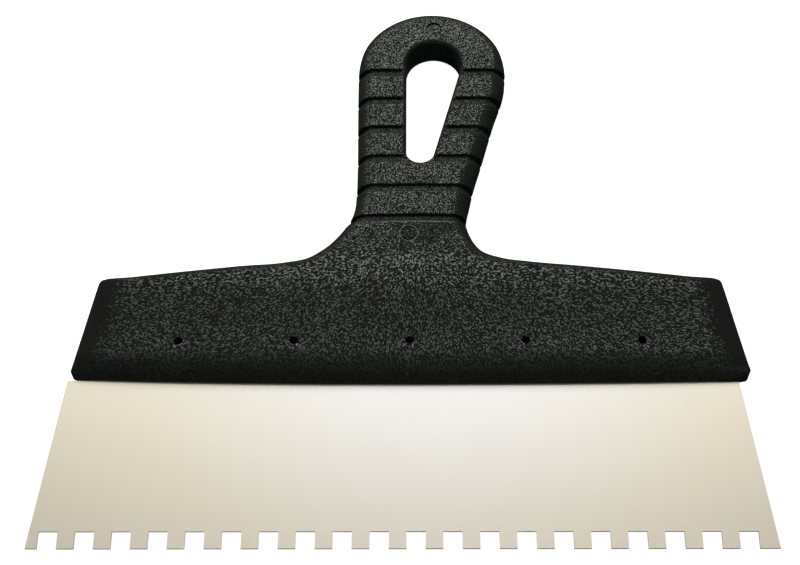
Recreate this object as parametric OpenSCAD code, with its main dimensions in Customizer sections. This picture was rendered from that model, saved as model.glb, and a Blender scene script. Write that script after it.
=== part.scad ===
// Wide notched spreader: a thin square-notched blade, a moulded handle bar
// with an in-line loop grip, and a row of sunk fixing pins.
// Lies on its back: X along the notched edge, Y from the edge to the ring,
// Z up out of the front face. The origin is under the middle of the whole tool.

/* [Blade] */
// width of the blade along its notched edge, mm
blade_width = 250; // [180:1:350]
// how far the blade stands out of the handle bar, mm
blade_reach = 60.3; // [40:0.1:90]
// thickness of the blade sheet, mm
blade_thickness = 0.7; // [0.5:0.1:1.2]
// lean of each side edge of the blade, degrees
blade_side_angle = 7.2; // [0:0.1:14]
// width of one square notch, mm
notch_width = 6.4; // [3:0.1:12]
// depth of one square notch, mm
notch_depth = 6; // [3:0.5:12]
// width of one tooth between two notches, mm
tooth_width = 5.85; // [3:0.05:12]
// width of the first tooth, at the left corner, mm
first_tooth = 4; // [3:0.1:12]
// height of the hidden tang inside the handle bar, mm
tang_height = 32; // [24:0.5:34]

/* [Handle bar] */
// how much the bar is longer than the blade where they meet, mm
bar_overhang = 4; // [2:0.5:12]
// height of the bar at its two ends, mm
bar_height = 40.6; // [36:0.1:55]
// thickness of the bar, front to back, mm
bar_thickness = 17.2; // [14:0.2:24]
// lean of the two end faces of the bar, degrees
bar_end_angle = 10.5; // [0:0.5:14]
// how far the handle sits to the right of the blade's middle, mm
handle_offset = 2.6; // [-5:0.1:5]

/* [Loop grip] */
// outer radius of the ring at the top of the grip, mm
ring_radius = 28.1; // [24:0.1:36]
// height of the ring's centre above the lower lip of the bar, mm
ring_height = 132.6; // [120:0.2:160]
// how far the ring leans to the right of the bar's middle, mm
ring_lean = 8.2; // [0:0.1:14]
// thickness of the grip, front to back, mm
grip_thickness = 14.6; // [12:0.2:17]
// rounding of the grip's long edges, mm
grip_rounding = 4.6; // [2:0.1:6]
// width of the grip where it leaves the neck, mm
neck_width = 42; // [36:0.2:50]
// radius of the hole in the ring, at its wide upper end, mm
hole_top_radius = 10.5; // [8:0.1:13]
// radius of the same hole at its narrow lower end, mm
hole_low_radius = 5.7; // [4:0.1:8]
// bevel round the rim of the hole, mm
hole_bevel = 2.2; // [0.5:0.1:3]
// depth of the finger grooves, mm
groove_depth = 1.1; // [0.5:0.1:2]
// width of the finger grooves, mm
groove_width = 2; // [1:0.1:4]
// distance from one finger groove to the next, mm
groove_pitch = 13.3; // [10:0.1:16]
// number of finger grooves
groove_count = 6; // [3:1:7]

/* [Fixing pins] */
// diameter of the steel fixing pins, mm
pin_diameter = 3; // [2:0.1:4]
// how deep the pin heads are sunk below the front face, mm
pin_sink = 5.2; // [2:0.1:6]
// height of the pin row above the lower lip of the bar, mm
pin_row_height = 14; // [10:0.1:20]
// radial gap between a pin and its hole in the moulding, mm
pin_clearance = 0.03; // [0:0.01:0.2]
// radial gap between a pin and its hole in the tang, mm
tang_hole_clearance = 0.2; // [0.05:0.05:0.5]
// gap all round the tang in its slot, mm
slot_clearance = 0.05; // [0.02:0.01:0.3]

/* [Mould marks] */
// diameter of the round mark on the ring, mm
ring_mark_diameter = 6.3; // [4:0.1:8]
// diameter of the round mark under the neck, mm
neck_mark_diameter = 5.4; // [4:0.1:8]
// depth of the two round marks, mm
mark_depth = 0.3; // [0.1:0.1:0.6]

/* [Hidden] */
// number of pins in the row
pin_count = 5;
// distance from one notch to the next
notch_pitch = notch_width + tooth_width;
// how many whole notches fit between the two corner teeth
notch_count = floor((blade_width - 2 * first_tooth + tooth_width) / notch_pitch);
// half width of the blade where it meets the bar
blade_neck_half = blade_width / 2 - blade_reach * tan(blade_side_angle);
// half length of the bar at its lower front edge
bar_half = blade_neck_half + bar_overhang / 2;
// half width of the hidden tang
tang_half = bar_half - 12.5;
// half length of the bar at its top corners
bar_top_half = bar_half - bar_height * tan(bar_end_angle);
// distance between two fixing pins
pin_pitch = bar_half * 0.3395;
// half thicknesses
bar_z = bar_thickness / 2;
grip_z = grip_thickness / 2;
// how far a pin reaches behind and in front of the blade's middle plane
pin_depth = bar_z - 3.2;
pin_rise = bar_z - 1.0 - pin_sink;
// overall length, notched edge to the top of the ring
tool_length = blade_reach + ring_height + ring_radius;
// sections of the flare, heights above the lip: left edge, right edge and
// half thickness, all about the middle of the bar
half_neck = neck_width / 2;
flare_rows = [
    [38.0, -half_neck - 45.0, half_neck + 45.0, 6.0],
    [46.0, -half_neck - 34.0, half_neck + 31.0, 6.8],
    [48.0, -half_neck - 20.0, half_neck + 17.0, grip_z - 0.1],
    [49.8, -half_neck - 14.6, half_neck + 9.6, grip_z],
    [52.4, -half_neck - 11.2, half_neck + 5.0, grip_z],
    [56.0, -half_neck - 7.3, half_neck + 2.3, grip_z],
    [60.1, -half_neck - 4.1, half_neck + 0.6, grip_z],
    [62.6, -half_neck - 2.6, half_neck + 0.1, grip_z - 0.2],
    [64.0, -half_neck - 1.2, half_neck - 0.3, grip_z - 1.2],
];
// number of points round one corner of a flare section
corner_steps = 5;

// which piece to draw

// everything is drawn with the lip of the bar at y = 0 and the blade's
// middle plane at z = 0, then moved once into the shared frame
module into_frame() {
    translate([0, blade_reach - tool_length / 2, bar_z])
        children();
}

// a round disc with softened edges, half height h
module soft_disc(radius, h, soft) {
    rotate_extrude($fn = 48)
        polygon(concat(
            [[0, -h]],
            [for (i = [0:5]) [radius - soft + soft * sin(i * 18), soft - h - soft * cos(i * 18)]],
            [for (i = [0:5]) [radius - soft + soft * cos(i * 18), h - soft + soft * sin(i * 18)]],
            [[0, h]]
        ));
}

// the points of one flare section, counted the same way on every row
function flare_ring(row, soft) = [
    for (side = [0:3])
        for (i = [0:corner_steps])
            let (
                turn = side * 90 + i * 90 / corner_steps,
                cx = (side == 0 || side == 3) ? row[2] - soft : row[1] + soft,
                cz = (side < 2) ? row[3] - soft : soft - row[3]
            )
            [cx + soft * cos(turn), row[0], cz + soft * sin(turn)]
];

// the neck, swept through the flare rows
module flare() {
    per_row = 4 * (corner_steps + 1);
    rows = len(flare_rows);
    points = [for (row = flare_rows) each flare_ring(row, grip_rounding)];
    sides = [
        for (r = [0:rows - 2])
            for (i = [0:per_row - 1])
                [
                    r * per_row + i,
                    r * per_row + (i + 1) % per_row,
                    (r + 1) * per_row + (i + 1) % per_row,
                    (r + 1) * per_row + i
                ]
    ];
    first_cap = [[for (i = [0:per_row - 1]) per_row - 1 - i]];
    last_cap = [[for (i = [0:per_row - 1]) (rows - 1) * per_row + i]];
    polyhedron(points = points, faces = concat(sides, first_cap, last_cap), convexity = 4);
}

// the cushion-shaped bar that holds the blade
module bar() {
    hull() {
        translate([-bar_half + 2.8, 0, -1.6])
            cube([2 * bar_half - 5.6, 0.8, 3.2]);
        translate([-bar_half, 3, -5])
            cube([2 * bar_half, 0.6, 10]);
        translate([-bar_half + 9, pin_row_height, 1.2 - bar_z])
            cube([2 * bar_half - 18, 1, bar_thickness - 2.4]);
        translate([-bar_top_half + 3, bar_height - 17.5, -bar_z])
            cube([2 * bar_top_half - 6, 10, bar_thickness]);
        translate([-bar_half + 14, 14, -bar_z])
            cube([2 * bar_half - 28, 10, bar_z]);
        for (side = [-1, 1]) {
            translate([side * (bar_top_half - 3.5), bar_height - 3.5, 0])
                soft_disc(3.5, 5.6, 3.4);
            translate([side * 30, bar_height + 0.4, 0])
                soft_disc(8, 7.6, 5);
        }
    }
}

// the outer skin of the grip, drawn in by a given amount all round
module grip_skin(inset) {
    soft = grip_rounding - inset * 0.5;
    low = 89.2;
    hull() {
        translate([ring_lean, ring_height, 0])
            soft_disc(ring_radius - inset, grip_z - inset, soft);
        translate([-half_neck + 1.4 + 6, low, 0])
            soft_disc(6 - inset, grip_z - inset, soft);
        translate([half_neck + 4.7 - 6, low, 0])
            soft_disc(6 - inset, grip_z - inset, soft);
    }
    hull() {
        translate([-half_neck + 1.4 + 6, low, 0])
            soft_disc(6 - inset, grip_z - inset, soft);
        translate([half_neck + 4.7 - 6, low, 0])
            soft_disc(6 - inset, grip_z - inset, soft);
        translate([-half_neck - 0.6 + 6, 65, 0])
            soft_disc(6 - inset, grip_z - inset, soft);
        translate([half_neck - 0.3 - 6, 65, 0])
            soft_disc(6 - inset, grip_z - inset, soft);
    }
}

// where the two ends of the loop's hole are, from the bar's middle
hole_top = [ring_lean + 0.5, ring_height + 2.2];
hole_low = [ring_lean - 4.3, ring_height - 37.6];

// the hole through the ring, wide at the top and narrow at the bottom
module finger_hole() {
    run = hole_top - hole_low;
    gap = norm(run);
    lean = atan2(run[1], run[0]);
    spread = acos((hole_low_radius - hole_top_radius) / gap);
    depth = bar_thickness + 4;
    translate([hole_top[0], hole_top[1], -depth / 2])
        cylinder(r = hole_top_radius, h = depth, $fn = 64);
    translate([hole_low[0], hole_low[1], -depth / 2])
        cylinder(r = hole_low_radius, h = depth, $fn = 64);
    translate([0, 0, -depth / 2])
        linear_extrude(depth)
            polygon([
                hole_low + hole_low_radius * [cos(lean + spread), sin(lean + spread)],
                hole_low + hole_low_radius * [cos(lean - spread), sin(lean - spread)],
                hole_top + hole_top_radius * [cos(lean - spread), sin(lean - spread)],
                hole_top + hole_top_radius * [cos(lean + spread), sin(lean + spread)]
            ]);
}

// the bevel round one rim of the hole; side is 1 in front and -1 behind
module rim_bevel(side) {
    lift = side * (grip_z - hole_bevel / 2 + 0.01);
    hull()
        for (spot = [
            [hole_top, hole_top_radius],
            [hole_low, hole_low_radius]
        ])
            translate([spot[0][0], spot[0][1], lift])
                cylinder(
                    r1 = spot[1] + (side > 0 ? 0 : hole_bevel),
                    r2 = spot[1] + (side > 0 ? hole_bevel : 0),
                    h = hole_bevel,
                    center = true,
                    $fn = 40
                );
}

// the finger grooves, cut all the way round the grip
module grooves() {
    difference() {
        for (i = [0:groove_count - 1])
            translate([ring_lean - 50, ring_height + 0.1 - i * groove_pitch - groove_width, -20])
                cube([100, groove_width, 40]);
        grip_skin(groove_depth);
    }
}

// x of one pin, counted from 1 on the left
function pin_x(i) = (i - (pin_count + 1) / 2) * pin_pitch;

module blade() {
    half = blade_width / 2;
    shift = handle_offset;
    color([0.80, 0.80, 0.77])
        into_frame()
            difference() {
                translate([0, 0, -blade_thickness / 2])
                    linear_extrude(blade_thickness)
                        polygon([
                            [-half, -blade_reach],
                            [half, -blade_reach],
                            [blade_neck_half, 0],
                            [shift + tang_half, 0],
                            [shift + tang_half, tang_height],
                            [shift - tang_half, tang_height],
                            [shift - tang_half, 0],
                            [-blade_neck_half, 0]
                        ]);
                for (i = [0:notch_count - 1])
                    translate([first_tooth - half + i * notch_pitch, -blade_reach - 2, -2])
                        cube([notch_width, notch_depth + 2, 4]);
                for (i = [1:pin_count])
                    translate([shift + pin_x(i), pin_row_height, -2])
                        cylinder(r = pin_diameter / 2 + tang_hole_clearance, h = 4, $fn = 48);
            }
}

module handle() {
    slot_z = blade_thickness / 2 + slot_clearance;
    slot_x = tang_half + slot_clearance;
    color([0.10, 0.11, 0.10])
        into_frame()
            translate([handle_offset, 0, 0])
                difference() {
                    union() {
                        bar();
                        flare();
                        difference() {
                            grip_skin(0);
                            grooves();
                        }
                    }
                    finger_hole();
                    rim_bevel(1);
                    rim_bevel(-1);
                    translate([-slot_x, -2, -slot_z])
                        cube([2 * slot_x, tang_height + slot_clearance + 2, 2 * slot_z]);
                    for (i = [1:pin_count])
                        translate([pin_x(i), pin_row_height, -pin_depth])
                            cylinder(r = pin_diameter / 2 + pin_clearance, h = pin_depth + bar_z + 2, $fn = 48);
                    translate([ring_lean + 1.1, ring_height + 19.3, grip_z - mark_depth])
                        cylinder(d = ring_mark_diameter, h = 3, $fn = 48);
                    translate([-0.4, bar_height + 16.9, grip_z - mark_depth])
                        cylinder(d = neck_mark_diameter, h = 3, $fn = 48);
                }
}

// the five pins, each a plain steel rod pressed in from the front
module fixing_pins() {
    color([0.66, 0.67, 0.66])
        into_frame()
            for (i = [1:pin_count])
                translate([handle_offset + pin_x(i), pin_row_height, -pin_depth])
                    cylinder(d = pin_diameter, h = pin_depth + pin_rise, $fn = 48);
}

blade();
handle();
fixing_pins();
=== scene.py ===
# %% [markdown]
# # A wide notched spreader in plastic and steel
# The tool is a long moulded handle bar with an in-line loop grip, a thin
# steel blade with square notches along its free edge, and five short steel
# pins pressed through the bar to hold the blade's hidden tang. It lies on its
# back: X runs along the notched edge, Y from that edge to the ring, and Z up
# out of the front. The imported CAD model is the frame, and every place below
# is taken from its boxes.

# %% Load the frame
import bpy, bmesh, math
import numpy as np
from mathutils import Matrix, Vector


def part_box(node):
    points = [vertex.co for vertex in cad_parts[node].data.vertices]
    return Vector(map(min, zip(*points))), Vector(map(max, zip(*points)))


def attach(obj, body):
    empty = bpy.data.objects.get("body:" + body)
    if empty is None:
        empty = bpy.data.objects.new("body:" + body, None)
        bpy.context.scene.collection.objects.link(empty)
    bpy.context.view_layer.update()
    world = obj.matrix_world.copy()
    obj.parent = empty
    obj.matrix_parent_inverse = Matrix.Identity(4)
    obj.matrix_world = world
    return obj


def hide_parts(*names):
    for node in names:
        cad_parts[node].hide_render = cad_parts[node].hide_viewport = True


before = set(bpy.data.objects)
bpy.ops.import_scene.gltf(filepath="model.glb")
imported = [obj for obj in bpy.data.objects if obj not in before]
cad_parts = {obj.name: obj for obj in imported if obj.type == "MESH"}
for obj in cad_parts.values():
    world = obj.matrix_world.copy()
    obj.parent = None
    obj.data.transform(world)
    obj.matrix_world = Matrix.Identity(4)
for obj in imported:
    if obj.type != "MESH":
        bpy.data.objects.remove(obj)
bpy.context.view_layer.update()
MM = 0.001

bar_low, bar_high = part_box("handle")
edge_low, edge_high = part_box("blade")
pin_low, pin_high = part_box("fixing_pins")
lip_y = bar_low.y                          # the lower lip of the bar
bar_x = (bar_low.x + bar_high.x) / 2       # the middle of the bar
sheet_z = (edge_low.z + edge_high.z) / 2   # the middle plane of the blade

# %% [markdown]
# ## Colours
# Three materials make the whole tool. Their colours are kept together so they
# can be tuned against each other: a black moulding that still has to show
# its grain, a pale satin steel with a warm film, and dull pins.

# %% Colour values
BLACK = (0.0030, 0.0032, 0.0036, 1)
# colour of the grain's tips: partly their own fleck, partly a painted glint
TIP_GREY_AND_GLINT = (0.046, 0.062, 0.028, 1)
STEEL = (0.875, 0.795, 0.68, 1)
# paler steel for a painted highlight in the middle under the neck
STEEL_HIGHLIGHT = (0.88, 0.845, 0.845, 1)
PIN_STEEL = (0.52, 0.53, 0.52, 1)
PIN_STAIN = (0.20, 0.19, 0.17, 1)
print("plastic", BLACK[:3], "steel", STEEL[:3])

# %% [markdown]
# ## The outline of the moulding
# Seen from the front the moulding is one closed line. The bar's two ends are
# straight and lean in, so those stretches stay straight. The neck and grip
# are drawn by hand-sized curves through a few points, as with a flexible
# ruler, and the ring closes the top. Points are in millimetres from the
# middle of the bar and up from its lip.

# %% Points of the outline
LEFT_END = [(-115.2, 2.05), (-117.8, 2.75), (-118.7, 4.5), (-111.6, 38.2), (-110.8, 39.6), (-108.2, 40.5)]
LEFT_SIDE = [(-60, 45.8), (-45, 47.2), (-37, 49.1), (-32.3, 52.2), (-28.4, 55.8), (-25.0, 60.2),
             (-22.6, 64.6), (-21.4, 67.5), (-20.3, 72), (-19.8, 78), (-19.6, 90), (-19.8, 110),
             (-19.9, 125), (-19.9, 132.4)]
RIGHT_END = [(114.6, 1.2), (117.7, 2.1), (118.7, 4.2), (111.6, 38.0), (110.8, 39.3), (108.2, 40.2)]
RIGHT_SIDE = [(60, 45.6), (43, 47.4), (33.3, 49.0), (26.0, 52.2), (23.1, 56.2), (21.5, 60.0),
              (20.7, 64.0), (20.9, 67.5), (21.9, 72), (23.6, 80), (26.4, 90), (31.8, 110),
              (36.2, 125), (36.9, 132.4)]
RING_MIDDLE, RING_RADII = (8.5, 132.6), (28.4, 28.0)
HOLE_TOP, HOLE_LOW = (9.15, 135.0, 10.5), (3.9, 95.0, 5.27)     # x, y, radius
LIP_UP, LIP_BOW = 0.25, (1.8, 0.95)         # height of the lip's middle; its left and right ends above that


# %% A smooth line through points
def smooth_line(points, step=0.8):
    """A curve through the points whose speed follows each chord, so that it never overshoots."""
    p = np.array(points, float)
    line = [p[0]]
    for i in range(len(p) - 1):
        a, b = p[i], p[i + 1]
        before = p[i - 1] if i > 0 else 2 * a - b
        after = p[i + 2] if i + 2 < len(p) else 2 * b - a
        la, lb, lc = [max(np.hypot(*v), 1e-6) for v in (a - before, b - a, after - b)]
        leave = ((a - before) / la * lb + (b - a) / lb * la) / (la + lb) * lb if i > 0 else b - a
        reach = ((b - a) / lb * lc + (after - b) / lc * lb) / (lb + lc) * lb if i + 2 < len(p) else b - a
        t = np.linspace(0, 1, max(2, int(lb / step)) + 1)[1:, None]
        line.extend((2 * t**3 - 3 * t**2 + 1) * a + (t**3 - 2 * t**2 + t) * leave
                    + (3 * t**2 - 2 * t**3) * b + (t**3 - t**2) * reach)
    return np.array(line)


def lip_line(x):
    """Height of the lip, which bows up a little towards its ends."""
    return LIP_UP + np.where(x < 0, *LIP_BOW) * np.minimum((x / 115)**2, 1)


def moulding_outline():
    """The closed front outline, anticlockwise from the lower right corner."""
    left = np.vstack([LEFT_END, smooth_line(LEFT_SIDE)])
    right = np.vstack([RIGHT_END, smooth_line(RIGHT_SIDE)])
    (cx, cy), (rx, ry) = RING_MIDDLE, RING_RADII
    start = math.atan2(right[-1, 1] - cy, right[-1, 0] - cx)
    stop = math.atan2(left[-1, 1] - cy, left[-1, 0] - cx) % (2 * math.pi)
    turn = np.linspace(start, stop, 90)[1:-1]
    arc = np.c_[cx + rx * np.cos(turn), cy + ry * np.sin(turn)]
    across = np.linspace(left[0, 0], right[0, 0], 41)[1:-1]
    lip = np.c_[across, lip_line(across)]
    return np.vstack([right, arc, left[::-1], lip])


OUTLINE = moulding_outline()
print("outline points:", len(OUTLINE), "height, mm:", round(OUTLINE[:, 1].max(), 1))

# %% [markdown]
# ## The skin of the moulding as a rule
# A moulded handle is rounded everywhere by a different amount, and grooves
# run right round it. Bevels on a polygon model pinch where neck, grip and
# bar meet. So the skin is written as a rule instead: for any point in space,
# how far it is from the outline, how thick the body is there, and how round
# its edge is. The skin is where the rule gives zero. A wax carver works the
# same way, sweeping a template round a blank.

# %% Distances in the plane of the tool
def outline_distance(x, y):
    """Distance to the outline, below zero inside it."""
    px, py = x.ravel(), y.ravel()
    best, inside = np.full(px.shape, 1e9), np.zeros(px.shape, bool)
    for (ax, ay), (bx, by) in zip(OUTLINE, np.roll(OUTLINE, -1, axis=0)):
        dx, dy = bx - ax, by - ay
        t = np.clip(((px - ax) * dx + (py - ay) * dy) / max(dx * dx + dy * dy, 1e-12), 0, 1)
        np.minimum(best, (px - ax - t * dx)**2 + (py - ay - t * dy)**2, out=best)
        if abs(dy) > 1e-12:
            inside ^= ((ay > py) != (by > py)) & (px < dx * (py - ay) / dy + ax)
    return np.where(inside, -1, 1).reshape(x.shape) * np.sqrt(best).reshape(x.shape)


def hole_distance(x, y):
    """Distance to the teardrop hole of the ring, below zero inside the hole."""
    (x1, y1, r1), (x2, y2, r2) = HOLE_LOW, HOLE_TOP
    run = math.hypot(x2 - x1, y2 - y1)
    ux, uy = (x2 - x1) / run, (y2 - y1) / run
    along = (x - x1) * ux + (y - y1) * uy
    off = np.abs((x - x1) * -uy + (y - y1) * ux)
    b = (r1 - r2) / run
    a = math.sqrt(1 - b * b)
    k = a * along - b * off
    return np.where(k < 0, np.hypot(off, along) - r1,
                    np.where(k > a * run, np.hypot(off, along - run) - r2, a * off + b * along - r1))


def ease(a, b, v):
    """0 before a, 1 after b, and a smooth step between them."""
    t = np.clip((v - a) / (b - a), 0, 1)
    return t * t * (3 - 2 * t)


# %% Thickness, rounding and grooves
PIN_X = np.array([-2, -1, 0, 1, 2]) * (pin_high.x - pin_low.x - 0.003) / 4 / MM
PIN_Y = ((pin_low.y + pin_high.y) / 2 - lip_y) / MM
GROOVE_PITCH = 13.3
GROOVES = [132.3 - GROOVE_PITCH * i for i in range(6)]      # where each groove is deepest
GRIP_MIDDLE, GRIP_HALF = 0.5, 21                            # the flat grip's middle and half width
STEP_AT = 62.3                                              # the body ends here, a little proud of the grip
THICK_AT = [-5, 0, 1.4, 3.2, 5.5, 8, 14, 20, 27, 34, 38, 44, 52, 60, 70, 200]
HALF_THICK = [1.0, 1.4, 3.9, 5.5, 6.45, 6.95, 7.2, 7.5, 7.98, 8.45, 8.58, 8.4, 7.8, 7.05, 6.6, 6.6]
FINE_Y = np.arange(-12, 180, 0.2)
BELL = np.exp(-0.5 * (np.arange(-15, 16) * 0.2 / 0.8)**2)      # a short bell curve takes off the corners
FINE_THICK = np.convolve(np.interp(FINE_Y, THICK_AT, HALF_THICK), BELL / BELL.sum(), "same")


def half_thickness(x, y):
    """Half the body's thickness: a cushion over the bar, a flat grip, a crown by the neck."""
    h = np.interp(y - lip_line(x) * ease(14, 2, y), FINE_Y, FINE_THICK)
    h = h - 1.7 * np.clip(np.abs(x) / 118, 0, 1)**6 * ease(70, 40, y) * ease(0, 6, y)
    across = (x - GRIP_MIDDLE) / GRIP_HALF
    h = h + 0.55 * (1 - np.clip(across, -1, 1)**2) * ease(50, 60, y) * ease(98, 82, y)
    for px in PIN_X:
        h = h - 0.12 * ease(2.9, 1.6, np.hypot(x - px, y - PIN_Y))
    step = STEP_AT + 0.9 * (1 - across**2)
    return h + 0.32 * ease(step + 0.9, step - 0.1, y) * ease(52, 59, y)


def edge_rounding(x, y):
    """Radius of the long edges: tight at the lip, soft on the shoulders."""
    soft = 5.0 - 1.4 * ease(98, 112, np.abs(x)) + 1.5 * ease(58, 72, y) - 2.8 * ease(132, 146, y)
    return 0.9 + (soft - 0.9) * ease(1.5, 9, y)


def groove_depth(y, face):
    """A finger groove: a steep wall above, a sloping floor on the face, and only a nick on the sides."""
    wide, nick = np.zeros_like(y), np.zeros_like(y)
    for g in GROOVES:
        wide = np.maximum(wide, np.interp(g - y, [-0.4, 0, 0.3, 2.2, 3.0], [0, 1, 0.95, 0.7, 0]))
        nick = np.maximum(nick, np.interp(g - y, [-0.5, 0, 0.9, 2.0], [0, 1, 1, 0]))
    return 1.5 * nick + (1.1 * wide - 1.5 * nick) * face


def rounded(across, up, radius):
    """Two flat sides joined by a round edge, as a distance."""
    qa, qu = across + radius, up + radius
    return np.hypot(np.maximum(qa, 0), np.maximum(qu, 0)) + np.minimum(np.maximum(qa, qu), 0) - radius


def skin(x, y, z, out, hole):
    """The rule itself: below zero in the plastic, above zero in the air."""
    up = np.abs(z) - half_thickness(x, y)
    body = rounded(out, up, edge_rounding(x, y))
    face = np.clip((up / 7.5 + 0.55) / 0.45, 0, 1)
    body = body + groove_depth(y, face) * ease(0.4, 2.4, hole)
    return np.maximum(body, rounded(-hole, up, 1.9))


print("groove heights, mm:", [round(g, 1) for g in GROOVES])

# %% [markdown]
# ## From the rule to a mesh
# The rule is read on a grid that is finer where the shape is busy. Every
# cell the skin passes through gets one point, and neighbouring points are
# joined by a four-sided face. The points are then pushed onto the exact skin
# by its slope. This gives an even, closed mesh that Blender can cut and
# shade without pinches.

# %% Grid lines
def grid_lines(*stretches):
    """Lines along one axis, each stretch with its own spacing."""
    lines = [stretches[0][0]]
    for a, b, step in stretches:
        lines.extend(np.linspace(a, b, max(1, round((b - a) / step)) + 1)[1:])
    return np.array(lines)


def with_grooves(lines):
    """Closer lines across each groove, so that its wall comes out crisp."""
    near = np.concatenate([np.r_[g - 3.5:g - 1.3:0.4, g - 1.2:g + 1.0:0.16] for g in GROOVES]
                          + [STEP_AT + np.arange(-0.7, 1.6, 0.2)])
    near = np.unique(near.round(2))
    near = near[np.r_[True, np.diff(near) > 0.11]]
    far = [v for v in lines if np.abs(near - v).min() > 0.3]
    return np.sort(np.concatenate([near, far]))


GRID_X = grid_lines((-120.6, -26, 1.2), (-26, 42, 0.7), (42, 120.6, 1.2))
GRID_Y = with_grooves(grid_lines((-1.4, 5, 0.35), (5, 62, 0.95), (62, 136, 0.8), (136, 163, 0.75)))
GRID_Z = grid_lines((-9.3, 9.3, 0.75))
print("grid:", len(GRID_X), "x", len(GRID_Y), "x", len(GRID_Z))


# %% Wrap the grid
def wrap(field, xs, ys, zs):
    """Points and four-sided faces round everything where the field is below zero."""
    inside = field < 0
    size = field.shape
    corners = [(i, j, k) for i in (0, 1) for j in (0, 1) for k in (0, 1)]
    count = sum(inside[i:size[0] - 1 + i, j:size[1] - 1 + j, k:size[2] - 1 + k].astype(int)
                for i, j, k in corners)
    active = (count > 0) & (count < 8)
    number = -np.ones(active.shape, int)
    number[active] = np.arange(active.sum())
    i, j, k = np.nonzero(active)
    total, hits = np.zeros((len(i), 3)), np.zeros(len(i))
    for a in corners:
        for b in corners:
            if sum(b) != sum(a) + 1 or any(b[m] < a[m] for m in range(3)):
                continue
            fa = field[i + a[0], j + a[1], k + a[2]]
            fb = field[i + b[0], j + b[1], k + b[2]]
            crossed = (fa < 0) != (fb < 0)
            t = np.where(crossed, fa / np.where(crossed, fa - fb, 1), 0)[:, None]
            pa = np.c_[xs[i + a[0]], ys[j + a[1]], zs[k + a[2]]]
            pb = np.c_[xs[i + b[0]], ys[j + b[1]], zs[k + b[2]]]
            total += np.where(crossed[:, None], pa + (pb - pa) * t, 0)
            hits += crossed
    faces = []
    for axis in range(3):
        one = np.eye(3, dtype=int)
        low = inside[:size[0] - one[axis][0], :size[1] - one[axis][1], :size[2] - one[axis][2]]
        high = inside[one[axis][0]:, one[axis][1]:, one[axis][2]:]
        cell = np.argwhere(low != high)
        u, v = (axis + 1) % 3, (axis + 2) % 3
        cell = cell[(cell[:, u] > 0) & (cell[:, v] > 0)
                    & (cell[:, u] < size[u] - 1) & (cell[:, v] < size[v] - 1)]
        shifts = (one[u] + one[v], one[v], 0 * one[u], one[u])
        ring = np.stack([number[tuple((cell - shift).T)] for shift in shifts], 1)
        outwards = low[tuple(cell.T)]
        ring[~outwards] = ring[~outwards][:, ::-1]
        faces.append(ring)
    return total / hits[:, None], np.vstack(faces)


def skin_at(p):
    x, y, z = p.T
    return skin(x, y, z, outline_distance(x, y), hole_distance(x, y))


# %% Make the moulding's mesh
flat_x, flat_y = np.meshgrid(GRID_X, GRID_Y, indexing="ij")
field = skin(flat_x[..., None], flat_y[..., None], GRID_Z,
             outline_distance(flat_x, flat_y)[..., None], hole_distance(flat_x, flat_y)[..., None])
points, quads = wrap(field, GRID_X, GRID_Y, GRID_Z)
for _ in range(2):
    here = skin_at(points)
    slope = np.stack([(skin_at(points + 0.05 * axis) - here) / 0.05 for axis in np.eye(3)], 1)
    push = (here / np.maximum((slope**2).sum(1), 0.2))[:, None] * slope
    points = points - push * np.minimum(1, 0.3 / np.maximum(np.linalg.norm(push, axis=1), 1e-9))[:, None]
print("moulding:", len(points), "points,", len(quads), "faces")


def piece_from(name, corners, faces):
    """A new object from points in millimetres: across from the bar's middle, up from its lip, off the sheet."""
    mesh = bpy.data.meshes.new(name)
    place = np.array(corners) * MM + np.array([bar_x, lip_y, sheet_z])
    mesh.from_pydata(place.tolist(), [], np.asarray(faces).tolist())
    mesh.update()
    piece = bpy.data.objects.new(name, mesh)
    bpy.context.scene.collection.objects.link(piece)
    return piece


moulding = piece_from("moulded_handle", points, quads)

# %% [markdown]
# ## Small tools for Geometry Nodes
# The blade, the pins and the cutters all repeat along a line, so Geometry
# Nodes make them. Each tree has named inputs for its sizes. These helpers
# open a tree, add a node with its settings, and turn the finished result
# into a plain mesh.

# %% Helpers for node trees
def open_tree(name, sizes):
    tree = bpy.data.node_groups.new(name, "GeometryNodeTree")
    tree.interface.new_socket("Geometry", in_out="INPUT", socket_type="NodeSocketGeometry")
    for label, value in sizes.items():
        kind = "NodeSocketInt" if isinstance(value, int) else "NodeSocketFloat"
        tree.interface.new_socket(label, in_out="INPUT", socket_type=kind)
    tree.interface.new_socket("Geometry", in_out="OUTPUT", socket_type="NodeSocketGeometry")
    return tree, tree.nodes.new("NodeGroupInput").outputs


def put(tree, kind, inputs=None, **settings):
    """Adds a node; inputs are numbers to set or sockets to link, by name or place."""
    node = tree.nodes.new(kind)
    for key, value in settings.items():
        setattr(node, key, value)
    for key, value in (inputs or {}).items():
        if isinstance(value, bpy.types.NodeSocket):
            tree.links.new(value, node.inputs[key])
        else:
            node.inputs[key].default_value = value
    return node


def sums(tree, kind, a, b=0.0, c=0.0):
    """One Math node."""
    return put(tree, "ShaderNodeMath", {0: a, 1: b, 2: c}, operation=kind).outputs[0]


def spot(tree, x=0.0, y=0.0, z=0.0):
    """A vector from three numbers or sockets."""
    return put(tree, "ShaderNodeCombineXYZ", {0: x, 1: y, 2: z}).outputs[0]


def close_tree(tree, geometry, material):
    real = put(tree, "GeometryNodeRealizeInstances", {"Geometry": geometry})
    paint = put(tree, "GeometryNodeSetMaterial", {"Geometry": real.outputs[0], "Material": material})
    put(tree, "NodeGroupOutput", {0: paint.outputs[0]})


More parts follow.
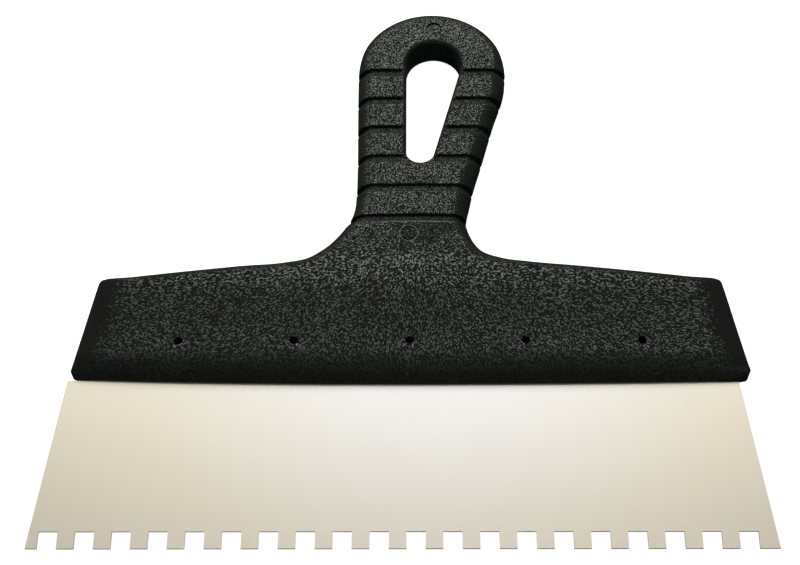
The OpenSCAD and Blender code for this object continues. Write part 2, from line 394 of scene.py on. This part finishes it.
def grow(name, tree, sizes):
    """Runs the tree with these sizes and keeps the result as a plain mesh object."""
    seed = bpy.data.objects.new(name + "_seed", bpy.data.meshes.new(name + "_seed"))
    bpy.context.scene.collection.objects.link(seed)
    step = seed.modifiers.new("tree", "NODES")
    step.node_group = tree
    for item in tree.interface.items_tree:
        if item.in_out == "INPUT" and item.name in sizes:
            step[item.identifier] = sizes[item.name]
    ready = seed.evaluated_get(bpy.context.evaluated_depsgraph_get())
    piece = bpy.data.objects.new(name, bpy.data.meshes.new_from_object(ready))
    bpy.data.objects.remove(seed)
    bpy.context.scene.collection.objects.link(piece)
    print(name, "-", len(piece.data.vertices), "points,", len(piece.data.polygons), "faces")
    return piece


# %% [markdown]
# ## Empty materials to fill later
# Set Material needs the material to exist, so the three are made now and get
# their nodes further down.

# %% Material names
def new_material(name):
    material = bpy.data.materials.new(name)
    material.use_nodes = True
    return material


grained_plastic = new_material("grained_black_moulding")
satin_steel = new_material("satin_steel_sheet")
dull_pin = new_material("dull_steel_pin")

# %% [markdown]
# ## The blade
# The real blade is one piece of thin sheet, cut to a shallow wedge with a
# narrower tang that disappears into the bar, then punched with square
# notches and five round holes. The tree works in the same order: a slab
# whose four rows are pulled to the widths of edge, shoulder and tang, then
# punches set out along a line and taken away from it. The shoulders stop
# just short of the bowed lip, so no gap shows between steel and plastic.

# %% Sizes of the blade
BLADE = {
    "Edge width": (edge_high.x - edge_low.x), "Reach": lip_y - edge_low.y,
    "Thickness": edge_high.z - edge_low.z, "Side lean": math.radians(7.2),
    "Tang half width": 0.10688, "Tang height": edge_high.y - lip_y, "Tang shift": bar_x,
    "Lip height": lip_y, "Shoulder rise": 0.00128, "Shoulder tilt": -0.0004, "Shoulder slope": 0.0001,
    "Sheet level": sheet_z,
    "Notch width": 0.0064, "Notch depth": 0.0060, "Tooth width": 0.00585, "First tooth": 0.0040,
    "Notches": 20, "Pins": 5, "Pin pitch": (PIN_X[1] - PIN_X[0]) * MM,
    "Pin row": PIN_Y * MM, "Hole radius": 0.0017,
}
print({k: round(v / MM, 2) if isinstance(v, float) else v for k, v in BLADE.items()})


# %% The blade's tree
def blade_tree():
    tree, size = open_tree("notched blade", BLADE)
    slab = put(tree, "GeometryNodeMeshCube",
               {"Size": (2, 3, 1), "Vertices X": 2, "Vertices Y": 4, "Vertices Z": 2})
    place = put(tree, "ShaderNodeSeparateXYZ", {0: put(tree, "GeometryNodeInputPosition").outputs[0]}).outputs
    row = sums(tree, "ROUND", sums(tree, "ADD", place[1], 1.5))

    def by_row(*values):
        pick = tree.nodes.new("GeometryNodeIndexSwitch")
        pick.data_type = "FLOAT"
        while len(pick.index_switch_items) < 4:
            pick.index_switch_items.new()
        tree.links.new(row, pick.inputs[0])
        for i, value in enumerate(values):
            if isinstance(value, bpy.types.NodeSocket):
                tree.links.new(value, pick.inputs[i + 1])
            else:
                pick.inputs[i + 1].default_value = value
        return pick.outputs[0]

    half = sums(tree, "MULTIPLY", size["Edge width"], 0.5)
    rise = sums(tree, "MULTIPLY_ADD", place[0], size["Shoulder tilt"], size["Shoulder rise"])
    side_length = sums(tree, "ADD", size["Reach"], rise)
    drawn_in = sums(tree, "MULTIPLY", side_length, sums(tree, "TANGENT", size["Side lean"]))
    shoulder = sums(tree, "SUBTRACT", half, drawn_in)
    wide = by_row(half, shoulder, size["Tang half width"], size["Tang half width"])
    shift = by_row(0.0, 0.0, size["Tang shift"], size["Tang shift"])
    height = by_row(sums(tree, "MULTIPLY", size["Reach"], -1.0), rise,
                    sums(tree, "ADD", rise, size["Shoulder slope"]), size["Tang height"])
    where = spot(tree, sums(tree, "MULTIPLY_ADD", place[0], wide, shift),
                 sums(tree, "ADD", height, size["Lip height"]),
                 sums(tree, "MULTIPLY_ADD", place[2], size["Thickness"], size["Sheet level"]))
    sheet = put(tree, "GeometryNodeSetPosition", {"Geometry": slab.outputs[0], "Position": where})

    notch_step = sums(tree, "ADD", size["Notch width"], size["Tooth width"])
    first = sums(tree, "ADD", size["First tooth"], sums(tree, "MULTIPLY", size["Notch width"], 0.5))
    notch_line = put(tree, "GeometryNodeMeshLine", {
        "Count": size["Notches"],
        "Start Location": spot(tree, sums(tree, "SUBTRACT", first, half),
                               sums(tree, "SUBTRACT", size["Lip height"], size["Reach"]), size["Sheet level"]),
        "Offset": spot(tree, notch_step)})
    punch = put(tree, "GeometryNodeMeshCube", {
        "Size": spot(tree, size["Notch width"], sums(tree, "MULTIPLY", size["Notch depth"], 2.0), 0.004)})
    notches = put(tree, "GeometryNodeInstanceOnPoints",
                  {"Points": notch_line.outputs[0], "Instance": punch.outputs[0]})

    pin_start = sums(tree, "SUBTRACT", size["Tang shift"], sums(tree, "MULTIPLY", size["Pin pitch"], 2.0))
    pin_line = put(tree, "GeometryNodeMeshLine", {
        "Count": size["Pins"],
        "Start Location": spot(tree, pin_start, sums(tree, "ADD", size["Lip height"], size["Pin row"]),
                               size["Sheet level"]),
        "Offset": spot(tree, size["Pin pitch"])})
    drill = put(tree, "GeometryNodeMeshCylinder",
                {"Vertices": 32, "Radius": size["Hole radius"], "Depth": 0.004})
    drills = put(tree, "GeometryNodeInstanceOnPoints",
                 {"Points": pin_line.outputs[0], "Instance": drill.outputs[0]})

    cut = tree.nodes.new("GeometryNodeMeshBoolean")
    cut.operation, cut.solver = "DIFFERENCE", "EXACT"
    tree.links.new(sheet.outputs[0], cut.inputs[0])
    for tool in (notches, drills):
        real = put(tree, "GeometryNodeRealizeInstances", {"Geometry": tool.outputs[0]})
        tree.links.new(real.outputs[0], cut.inputs[1])
    close_tree(tree, cut.outputs[0], satin_steel)
    return tree


blade = grow("notched_blade", blade_tree(), BLADE)

# %% [markdown]
# ## The pins and the holes they sit in
# Each pin is a short rod cut from wire, its two ends rounded off by
# tumbling. A line swept with a circle whose size shrinks at both ends gives
# that. The same tree with other sizes makes the five cutters for the holes
# in the moulding, so pin and hole can't drift apart.

# %% The tree for a row of rods
RODS = {
    "Count": 5, "Pitch": (PIN_X[1] - PIN_X[0]) * MM, "Middle": bar_x,
    "Row": (pin_low.y + pin_high.y) / 2, "Bottom": pin_low.z, "Top": pin_high.z,
    "Radius": (pin_high.y - pin_low.y) / 2, "End size": 0.72, "End length": 0.0004,
}


def rod_tree(material):
    tree, size = open_tree("row of rods", RODS)
    axis = put(tree, "GeometryNodeCurvePrimitiveLine", {"Start": spot(tree, z=size["Bottom"]),
                                                        "End": spot(tree, z=size["Top"])})
    line = put(tree, "GeometryNodeResampleCurve", {"Curve": axis.outputs[0], "Count": 24})
    run = put(tree, "GeometryNodeSplineParameter").outputs["Length"]
    whole = sums(tree, "SUBTRACT", size["Top"], size["Bottom"])
    to_end = sums(tree, "MINIMUM", run, sums(tree, "SUBTRACT", whole, run))
    grown = put(tree, "ShaderNodeClamp", {0: sums(tree, "DIVIDE", to_end, size["End length"])}).outputs[0]
    bulge = sums(tree, "SUBTRACT", 1.0, sums(tree, "POWER", sums(tree, "SUBTRACT", 1.0, grown), 2.0))
    width = sums(tree, "MULTIPLY_ADD", bulge, sums(tree, "SUBTRACT", 1.0, size["End size"]), size["End size"])
    shaped = put(tree, "GeometryNodeSetCurveRadius", {"Curve": line.outputs[0], "Radius": width})
    circle = put(tree, "GeometryNodeCurvePrimitiveCircle", {"Resolution": 40, "Radius": size["Radius"]})
    rod = put(tree, "GeometryNodeCurveToMesh", {"Curve": shaped.outputs[0], "Profile Curve": circle.outputs[0],
                                                "Fill Caps": True})
    half_count = sums(tree, "MULTIPLY", sums(tree, "SUBTRACT", size["Count"], 1.0), 0.5)
    half_run = sums(tree, "MULTIPLY", size["Pitch"], half_count)
    row = put(tree, "GeometryNodeMeshLine", {
        "Count": size["Count"],
        "Start Location": spot(tree, sums(tree, "SUBTRACT", size["Middle"], half_run), size["Row"]),
        "Offset": spot(tree, size["Pitch"])})
    rods = put(tree, "GeometryNodeInstanceOnPoints", {"Points": row.outputs[0], "Instance": rod.outputs[0]})
    close_tree(tree, rods.outputs[0], material)
    return tree


pins = grow("fixing_pin_row", rod_tree(dull_pin), RODS)
hole_sizes = dict(RODS, Radius=RODS["Radius"] + 0.00003, Bottom=pin_low.z - 0.0002, Top=bar_high.z + 0.003)
hole_sizes.update({"End size": 1.0})
hole_cutter = grow("pin_hole_cutters", rod_tree(grained_plastic), hole_sizes)

# %% [markdown]
# ## Cutting the moulding
# Three more cutters: the slot for the tang, the sunk disc left by the
# ejector at the top of the ring, and the thin ring left by the insert at the
# neck. All of them are joined with the hole cutters and taken from the
# moulding in one cut. The two marks start from the skin's own height where
# they sit, so they keep their depth if the thickness changes.

# %% Cutters for the slot and the mould marks
def lathe(profile, steps, middle):
    """A closed ring-shaped or solid turned piece; profile is (radius, height) pairs in millimetres."""
    turn = np.linspace(0, 2 * math.pi, steps, endpoint=False)
    rows = np.array([[(middle[0] + r * math.cos(t), middle[1] + r * math.sin(t), h) for t in turn]
                     for r, h in profile]).reshape(-1, 3)
    n = len(profile)
    faces = [[i * steps + k, i * steps + (k + 1) % steps,
              ((i + 1) % n) * steps + (k + 1) % steps, ((i + 1) % n) * steps + k]
             for i in range(n) for k in range(steps)]
    return rows, faces


slot_half = BLADE["Tang half width"] / MM + 0.05
slot_up = BLADE["Thickness"] / 2 / MM + 0.05
slot_rows = [(-4, slot_half + 0.5, slot_up + 0.2), (LIP_UP, slot_half + 0.5, slot_up + 0.2),
             (LIP_UP + 0.4, slot_half, slot_up), (BLADE["Tang height"] / MM + 0.05, slot_half, slot_up)]
slot_points = [(sx * w, y, sz * h) for y, w, h in slot_rows for sx, sz in ((-1, -1), (1, -1), (1, 1), (-1, 1))]
slot_faces = [[0, 1, 2, 3], [15, 14, 13, 12]]
slot_faces += [[4 * r + k, 4 * r + 4 + k, 4 * r + 4 + (k + 1) % 4, 4 * r + (k + 1) % 4]
               for r in range(3) for k in range(4)]
slot_cutter = piece_from("slot_cutter", slot_points, slot_faces)

RING_MARK, NECK_MARK = (9.3, 151.9), (-0.4, 57.5)               # where the two mould marks sit
MARK_DEPTH = 0.6
ring_floor, neck_floor = [float(half_thickness(*np.array([[x], [y]]))[0]) - MARK_DEPTH
                          for x, y in (RING_MARK, NECK_MARK)]
ring_mark = lathe([(0.02, ring_floor), (3.15, ring_floor), (3.2, 9.5), (0.02, 9.5)], 48, RING_MARK)
neck_mark = lathe([(2.55, neck_floor), (3.0, neck_floor), (3.1, 9.5), (2.45, 9.5)], 48, NECK_MARK)
ring_cutter = piece_from("ring_mark_cutter", *ring_mark)
neck_cutter = piece_from("neck_mark_cutter", *neck_mark)
print("slot:", round(2 * slot_half, 1), "x", round(2 * slot_up, 2), "mm")

# %% Join the cutters and cut
HAIR = 0.022 * MM                                # points closer than this are welded, so no fold is left
cutters = [hole_cutter, slot_cutter, ring_cutter, neck_cutter]
joined = bmesh.new()
for tool in cutters:
    joined.from_mesh(tool.data)
bmesh.ops.recalc_face_normals(joined, faces=joined.faces)
all_cutters = bpy.data.objects.new("all_cutters", bpy.data.meshes.new("all_cutters"))
joined.to_mesh(all_cutters.data)
joined.free()
bpy.context.scene.collection.objects.link(all_cutters)
cut = moulding.modifiers.new("cut", "BOOLEAN")
cut.operation, cut.object, cut.solver = "DIFFERENCE", all_cutters, "EXACT"
ready = moulding.evaluated_get(bpy.context.evaluated_depsgraph_get())
cut_mesh = bpy.data.meshes.new_from_object(ready)
welded = bmesh.new()
welded.from_mesh(cut_mesh)
bmesh.ops.remove_doubles(welded, verts=welded.verts, dist=HAIR)
welded.to_mesh(cut_mesh)
welded.free()
moulding.modifiers.clear()
moulding.data = cut_mesh
for tool in cutters + [all_cutters]:
    bpy.data.objects.remove(tool)
cut_mesh.materials.clear()
cut_mesh.materials.append(grained_plastic)
print("moulding after cutting:", len(cut_mesh.vertices), "points,", len(cut_mesh.polygons), "faces")


# %% Smooth shading with crisp edges
def shade(piece, degrees):
    """Smooth shading, kept sharp where faces meet at more than this angle."""
    mesh = piece.data
    mesh.polygons.foreach_set("use_smooth", [True] * len(mesh.polygons))
    mesh.set_sharp_from_angle(angle=math.radians(degrees))


shade(moulding, 50)
shade(blade, 30)
shade(pins, 40)

# %% [markdown]
# ## Small tools for materials
# Every finish here is made of the same few steps: a noise, a ramp that spreads
# a narrow range over a wide one, and masks that say where something happens.
# Each gets a helper, so that a finish reads like a recipe.

# %% Helpers for material nodes
def noise(tree, vector, scale, detail=2.0, rough=0.5):
    return put(tree, "ShaderNodeTexNoise",
               {"Vector": vector, "Scale": scale, "Detail": detail, "Roughness": rough}).outputs[0]


def ramp(tree, value, low, high, a=0.0, b=1.0):
    """Spreads low..high onto a..b, clamped."""
    return put(tree, "ShaderNodeMapRange", {0: value, 1: low, 2: high, 3: a, 4: b}).outputs[0]


def near(tree, value, middle, far, close):
    """1 within close of the middle, and 0 beyond far."""
    return ramp(tree, sums(tree, "ABSOLUTE", sums(tree, "SUBTRACT", value, middle)), far, close)


def both(tree, a, b):
    """Where both masks are white."""
    return sums(tree, "MULTIPLY", a, b)


def lift(tree, grain, mask, amount):
    """Raises the grain where the mask is white, or lowers it if the amount is below zero."""
    return sums(tree, "MULTIPLY_ADD", mask, amount, grain)


def turned(tree, vector, angle, stretch):
    """The pattern's own coordinates: turned by an angle, and drawn out along that direction.

    It is also rolled about that direction, because noise goes flat on planes that line up with its cells.
    """
    roll = (math.radians(37), 0, math.radians(angle))
    return put(tree, "ShaderNodeMapping", {0: vector, 2: roll, 3: (stretch, 1, 1)},
               vector_type="TEXTURE").outputs[0]


def distance_from(tree, vector, point, squeeze=(1.0, 1.0, 0.0)):
    """Distance from a point, in the plane of the tool unless the squeeze says otherwise."""
    shift = tuple(-p * s for p, s in zip(point, squeeze))
    moved = put(tree, "ShaderNodeMapping", {0: vector, 1: shift, 3: squeeze}).outputs[0]
    return put(tree, "ShaderNodeVectorMath", {0: moved}, operation="LENGTH").outputs["Value"]


def blend_colours(tree, share, a, b):
    mix = put(tree, "ShaderNodeMix", {0: share}, data_type="RGBA")
    for place, value in ((6, a), (7, b)):
        if isinstance(value, bpy.types.NodeSocket):
            tree.links.new(value, mix.inputs[place])
        else:
            mix.inputs[place].default_value = value
    return mix.outputs[2]


print("material tools ready")

# %% [markdown]
# ## The black moulding: where we are on it
# Recycled polypropylene, moulded in an etched tool: near black, with a fine
# leathery grain. The tips of the grain are rubbed smooth and catch the light,
# and the pits between them stay dull. One number at every point, the grain,
# says how near it is to a tip. It starts around a half, each of the next
# steps only raises or lowers it, and at the end it drives colour, roughness
# and relief together. First come the measures that the steps ask for: height
# above the lip, distance from the middle, and the direction from the neck.

# %% Places on the moulding
tree = grained_plastic.node_tree
surface = tree.nodes["Principled BSDF"]
place = put(tree, "ShaderNodeTexCoord").outputs["Object"]
where = put(tree, "ShaderNodeSeparateXYZ", {0: place}).outputs
rise = sums(tree, "SUBTRACT", where[1], lip_y)                          # height above the lip
side = sums(tree, "ABSOLUTE", sums(tree, "SUBTRACT", where[0], bar_x))  # distance from the middle
waver = ramp(tree, noise(tree, place, 130), 0.3, 0.7, -1.5 * MM, 1.5 * MM)   # makes every border uneven

neck = Vector((bar_x, lip_y + 52 * MM, 0))                              # where the melt enters the bar
from_neck = put(tree, "ShaderNodeVectorMath", {0: place, 1: neck}, operation="SUBTRACT").outputs[0]
reach = put(tree, "ShaderNodeSeparateXYZ", {0: from_neck}).outputs
fan = sums(tree, "ARCTAN2", reach[1], reach[0])                         # direction of flow at this point
print("melt enters at, mm:", [round(v / MM, 1) for v in neck])

# %% [markdown]
# ## The black moulding: grain along the flow
# From the neck the melt fans out into the bar, and the grain is drawn out
# along that flow. A noise can only be stretched along one straight direction,
# so there are four, each shown where its direction fits the fan. A plain
# average of noises turns grey, so the sum is divided by the length of the
# weights, which keeps the contrast the same everywhere. On the grip, where
# the melt crept slowly, the grain is even.

# %% Grain along the flow
GRAINS_PER_METRE, GRAIN_DETAIL, GRAIN_ROUGH = 1900, 1.0, 0.55

flow, power = 0.0, 0.0001
for angle, stretch in ((0, 2.2), (-38, 1.7), (-90, 1.7), (-142, 1.7)):
    pattern = noise(tree, turned(tree, place, angle, stretch), GRAINS_PER_METRE, GRAIN_DETAIL, GRAIN_ROUGH)
    gap = sums(tree, "ABSOLUTE", sums(tree, "SUBTRACT", fan, math.radians(angle)))
    if angle == 0:                                       # level flow on both shoulders
        gap = sums(tree, "MINIMUM", gap, sums(tree, "SUBTRACT", math.pi, sums(tree, "ABSOLUTE", fan)))
    weight = ramp(tree, gap, 0.05, 0.75, 1.0, 0.0)
    flow = sums(tree, "MULTIPLY_ADD", sums(tree, "SUBTRACT", pattern, 0.5), weight, flow)
    power = sums(tree, "MULTIPLY_ADD", weight, weight, power)
flow = sums(tree, "ADD", sums(tree, "DIVIDE", flow, sums(tree, "SQRT", power)), 0.5)
even = noise(tree, turned(tree, place, 23, 1.0), GRAINS_PER_METRE, GRAIN_DETAIL, GRAIN_ROUGH)
on_bar = ramp(tree, reach[1], 4 * MM, -6 * MM)
grain = put(tree, "ShaderNodeMix", {0: on_bar, 2: even, 3: flow}).outputs[0]
print("nodes for the grain:", len(tree.nodes))

# %% [markdown]
# ## The black moulding: where the tool is worn smooth
# An etched tool wears first where the plastic rushes past: along the lip, at
# both ends of the bar, and in one small patch below the neck. There the
# grain has hardly any height, so it is drawn in towards its middle.

# %% Worn patches
to_end = sums(tree, "SUBTRACT", 119.5 * MM, sums(tree, "MULTIPLY_ADD", rise, 0.21, side))
worn_lip = ramp(tree, sums(tree, "ADD", rise, waver), 7.5 * MM, 3.0 * MM)
worn_end = both(tree, ramp(tree, sums(tree, "ADD", to_end, waver), 13 * MM, 5 * MM),
                ramp(tree, rise, 60 * MM, 45 * MM))
patch_far = distance_from(tree, from_neck, (3.75 * MM, 6.5 * MM, 0), (0.32, 1.0, 0.0))
worn_neck = ramp(tree, sums(tree, "ADD", patch_far, waver), 5.8 * MM, 3.5 * MM, 0.0, 0.75)
worn = sums(tree, "MAXIMUM", worn_neck, sums(tree, "MAXIMUM", worn_lip, worn_end))
height_left = ramp(tree, worn, 0.0, 1.0, 1.0, 0.12)
grain = sums(tree, "MULTIPLY_ADD", sums(tree, "SUBTRACT", grain, 0.5), height_left, 0.5)
print("nodes with the worn patches:", len(tree.nodes))

# %% [markdown]
# ## The black moulding: painted lights and darks
# Lifting the grain a little makes more of it count as a rubbed tip, so a zone
# turns brighter without a new material: this paints highlights and shade into
# the colour. The smooth lip and the smooth patch get a painted highlight, and so
# does the top of the ring. The bar gets a touch of painted shade against the
# grip, and a painted shaded belt crosses it under the neck.

# %% Painted lights and darks
# painted highlight on the smooth patch under the neck
grain = lift(tree, grain, worn_neck, 0.022)
# painted highlight along the lip
grain = lift(tree, grain, ramp(tree, rise, 6.0 * MM, 4.0 * MM), 0.045)
# painted highlight on the top of the ring
grain = lift(tree, grain, ramp(tree, rise, 125 * MM, 155 * MM), 0.030)
# painted shade over the bar
grain = lift(tree, grain, ramp(tree, rise, 44 * MM, 36 * MM), -0.008)
# painted shade in a belt under the neck
painted_shade_belt = both(tree, ramp(tree, rise, 42 * MM, 35 * MM), ramp(tree, rise, 17 * MM, 26 * MM))
under_neck = ramp(tree, side, 28 * MM, 12 * MM, 1.0, 1.9)
grain = lift(tree, grain, both(tree, painted_shade_belt, under_neck), -0.005)
print("nodes so far:", len(tree.nodes))

# %% [markdown]
# ## The black moulding: flow marks
# Where two fronts of melt meet behind a pin they leave a weld line, a thin
# bright scratch down to the lip. A short dark seam lies level across the
# middle, where the flow paused.

# %% Weld line and seam
weld_x = sums(tree, "MULTIPLY_ADD", rise, 0.10, bar_x - 1.1 * MM)        # leans a little
weld = both(tree, near(tree, where[0], weld_x, 0.4 * MM, 0.2 * MM),
            both(tree, ramp(tree, rise, 12.5 * MM, 10.5 * MM), ramp(tree, rise, 1.5 * MM, 3.0 * MM)))
seam = both(tree, near(tree, rise, 39.5 * MM, 0.30 * MM, 0.12 * MM),
            near(tree, where[0], bar_x + 6 * MM, 20 * MM, 16 * MM))
grain = lift(tree, grain, weld, 0.10)
grain = lift(tree, grain, seam, -0.10)
print("weld line from the middle pin to the lip")

# %% [markdown]
# ## The black moulding: painted edge highlights
# A thin painted highlight runs along the lower edge of every finger groove,
# brightest at the one by the neck, and round the rim of the round mark below
# it, where those edges catch the light. The grooves repeat, so one repeating
# measure finds all six edges.

# %% Painted edge highlights
EDGE_BELOW = 3.1 * MM                                    # from a groove's deepest line to its lower edge
first_edge = GROOVES[0] * MM - EDGE_BELOW
turns = sums(tree, "DIVIDE", sums(tree, "SUBTRACT", first_edge, rise), GROOVE_PITCH * MM)
off_edge = sums(tree, "SUBTRACT", sums(tree, "FRACT", sums(tree, "ADD", turns, 0.5)), 0.5)
on_grip = both(tree, ramp(tree, rise, 61.0 * MM, 61.5 * MM), ramp(tree, rise, 131.0 * MM, 130.5 * MM))
# painted highlight along the lower edge of each groove
groove_edge_highlight = both(tree, near(tree, off_edge, 0.0, 0.034, 0.014), on_grip)
grain = sums(tree, "MULTIPLY_ADD", groove_edge_highlight, ramp(tree, rise, 66 * MM, 64 * MM, 0.045, 0.17), grain)

mark_place = (bar_x + NECK_MARK[0] * MM, lip_y + NECK_MARK[1] * MM, 0)
# painted highlight round the rim of the neck mark
rim = near(tree, distance_from(tree, place, mark_place), 3.2 * MM, 0.4 * MM, 0.2 * MM)
grain = lift(tree, grain, rim, 0.05)
print("groove edges at, mm:", [round(g - EDGE_BELOW / MM, 1) for g in GROOVES])

# %% [markdown]
# ## The black moulding: from grain to finish
# The tips are greenish grey and half glossy, a colour that is partly their own
# fleck and partly a painted glint; the pits are black and dull. Slow clouds
# keep the tint from looking printed. The relief is only a few hundredths of a
# millimetre, so the light does the work.

# %% Colour, gloss and relief of the plastic
cloud = ramp(tree, noise(tree, place, 55, 3.0, 0.6), 0.35, 0.65, 0.45, 1.0)
tips = ramp(tree, grain, 0.50, 0.60)
tree.links.new(blend_colours(tree, both(tree, tips, cloud), BLACK, TIP_GREY_AND_GLINT), surface.inputs["Base Color"])
tree.links.new(ramp(tree, grain, 0.518, 0.595, 1.0, 0.25), surface.inputs["Roughness"])
surface.inputs["Specular IOR Level"].default_value = 0.78
relief = put(tree, "ShaderNodeBump", {"Strength": 1.0, "Distance": 0.06 * MM, "Height": grain})
tree.links.new(relief.outputs[0], surface.inputs["Normal"])
print("plastic nodes:", len(tree.nodes))

# %% [markdown]
# ## The satin steel
# Rolled stainless sheet, finely brushed along its length, so a light reads as
# a soft band instead of a mirror image. A thin warm film covers it, and a
# painted highlight makes it paler in the middle under the neck; slow clouds
# keep that patch's edge uneven. Very fine pits stop it from looking like
# painted card.

# %% The steel
tree = satin_steel.node_tree
surface = tree.nodes["Principled BSDF"]
place = put(tree, "ShaderNodeTexCoord").outputs["Object"]
brushed = noise(tree, turned(tree, place, 0, 50.0), 2600, 2.0, 0.5)
clouds = noise(tree, place, 28, 3.0, 0.55)
speck = noise(tree, place, 900, 2.0, 0.5)
# painted highlight: the steel turns paler towards the middle under the neck
highlight_far = distance_from(tree, place, (12 * MM, lip_y, 0), (1.0, 1.5, 1.0))
painted_highlight = ramp(tree, sums(tree, "MULTIPLY_ADD", clouds, 0.02, highlight_far), 35 * MM, 115 * MM, 1.0, 0.0)
tone = blend_colours(tree, painted_highlight, STEEL, STEEL_HIGHLIGHT)
tree.links.new(tone, surface.inputs["Base Color"])
surface.inputs["Metallic"].default_value = 1.0
tree.links.new(ramp(tree, brushed, 0.3, 0.7, 0.44, 0.46), surface.inputs["Roughness"])
lines = put(tree, "ShaderNodeBump", {"Strength": 0.12, "Distance": 0.01 * MM, "Height": brushed})
pits = put(tree, "ShaderNodeBump",
           {"Strength": 0.3, "Distance": 0.02 * MM, "Height": speck, "Normal": lines.outputs[0]})
tree.links.new(pits.outputs[0], surface.inputs["Normal"])
print("steel nodes:", len(tree.nodes))

# %% [markdown]
# ## The dull pins
# Cheap wire pins: plain steel with a blotchy stain, seen only at the bottom
# of their holes. One noise decides both how dark and how dull a blotch is.

# %% The pins
tree = dull_pin.node_tree
surface = tree.nodes["Principled BSDF"]
place = put(tree, "ShaderNodeTexCoord").outputs["Object"]
stain = noise(tree, place, 420, 4.0, 0.6)
blotched = blend_colours(tree, ramp(tree, stain, 0.4, 0.6), PIN_STEEL, PIN_STAIN)
tree.links.new(blotched, surface.inputs["Base Color"])
surface.inputs["Metallic"].default_value = 1.0
tree.links.new(ramp(tree, stain, 0.3, 0.7, 0.3, 0.55), surface.inputs["Roughness"])
drawn = noise(tree, turned(tree, place, 0, 1.0), 3000, 1.0)
rub = put(tree, "ShaderNodeBump", {"Strength": 0.3, "Distance": 0.02 * MM, "Height": drawn})
tree.links.new(rub.outputs[0], surface.inputs["Normal"])
print("pin nodes:", len(tree.nodes))

# %% [markdown]
# ## Standing in for the CAD solids
# Each finished piece hides the CAD node it stands for and rides on the only
# body, and each hidden node carries the matching material.

# %% Tie the pieces to the frame
for piece, node, slot_name in ((moulding, "handle", "handle_plastic"), (blade, "blade", "blade_steel"),
                               (pins, "fixing_pins", "pin_steel")):
    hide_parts(node)
    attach(piece, "root")
    box = np.array([v.co for v in piece.data.vertices])
    print(piece.name, "box, mm:", (box.min(0) / MM).round(2), (box.max(0) / MM).round(2))

for node, material in (("handle", grained_plastic), ("blade", satin_steel), ("fixing_pins", dull_pin)):
    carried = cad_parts[node].data
    carried.materials.clear()
    carried.materials.append(material)

# %% [markdown]
# ## Floor, light and camera
# A pale opal table, evenly lit from inside, carries the tool, so there is
# hardly a shadow. One wide softbox stands behind the ring, where the flat
# steel and the flat faces of the handle mirror it. Four weak ones only fill
# in: one above, one low behind and one at the left for the shoulders and the
# rounded sides, and a bluish one in front, which keeps the lip of the bar
# from falling off into full black.

# %% The floor
bpy.ops.mesh.primitive_plane_add(size=6, location=(0, 0, -0.0002))
floor = bpy.context.object
floor.name = "pale_floor"
opal = new_material("opal_floor")
surface = opal.node_tree.nodes["Principled BSDF"]
surface.inputs["Base Color"].default_value = (0.9, 0.9, 0.9, 1)
surface.inputs["Roughness"].default_value = 0.9
surface.inputs["Emission Color"].default_value = (1, 1, 1, 1)
surface.inputs["Emission Strength"].default_value = 1.0
floor.data.materials.append(opal)
floor.visible_glossy = False
floor.visible_diffuse = False


# %% The lights
def softbox(name, place, aim, width, height, power, tint=(1, 1, 1)):
    lamp = bpy.data.lights.new(name, "AREA")
    lamp.shape, lamp.size, lamp.size_y = "RECTANGLE", width, height
    lamp.energy, lamp.color = power, tint
    holder = bpy.data.objects.new(name, lamp)
    bpy.context.scene.collection.objects.link(holder)
    holder.location = place
    holder.rotation_euler = (Vector(aim) - Vector(place)).to_track_quat("-Z", "Y").to_euler()
    return holder


softbox("back_softbox", (0.04, 0.856, 1.108), (0, 0, 0), 1.35, 0.70, 8.3, (0.98, 1.0, 0.955))
softbox("top_softbox", (0.0, 0.02, 1.35), (0, 0, 0), 1.30, 0.45, 0.6, (1.0, 0.995, 0.985))
softbox("front_softbox", (0.0, -1.3, 0.45), (0, 0, 0), 1.60, 0.40, 0.75, (0.78, 0.87, 1.0))
softbox("low_back_softbox", (-0.1, 1.25, 0.42), (0, 0, 0), 1.10, 0.45, 1.5, (0.95, 1.0, 0.84))
softbox("left_softbox", (-0.75, 0.75, 0.62), (0, 0, 0), 0.50, 0.50, 1.4, (0.95, 1.0, 0.84))
world = bpy.data.worlds.new("room")
bpy.context.scene.world = world
world.use_nodes = True
world.node_tree.nodes["Background"].inputs[0].default_value = (0.9, 0.95, 1.0, 1)
world.node_tree.nodes["Background"].inputs[1].default_value = 0.03

# %% The camera
lens = bpy.data.cameras.new("camera")
lens.lens, lens.sensor_width = 74.03, 36.0
camera = bpy.data.objects.new("camera", lens)
bpy.context.scene.collection.objects.link(camera)
camera.location = (0.0057, edge_low.y - 0.1955, sheet_z + 0.5146)
camera.rotation_euler = [math.radians(a) for a in (30.0, 0.63, 0.19)]
bpy.context.scene.camera = camera
bpy.context.scene.view_settings.view_transform = "Standard"
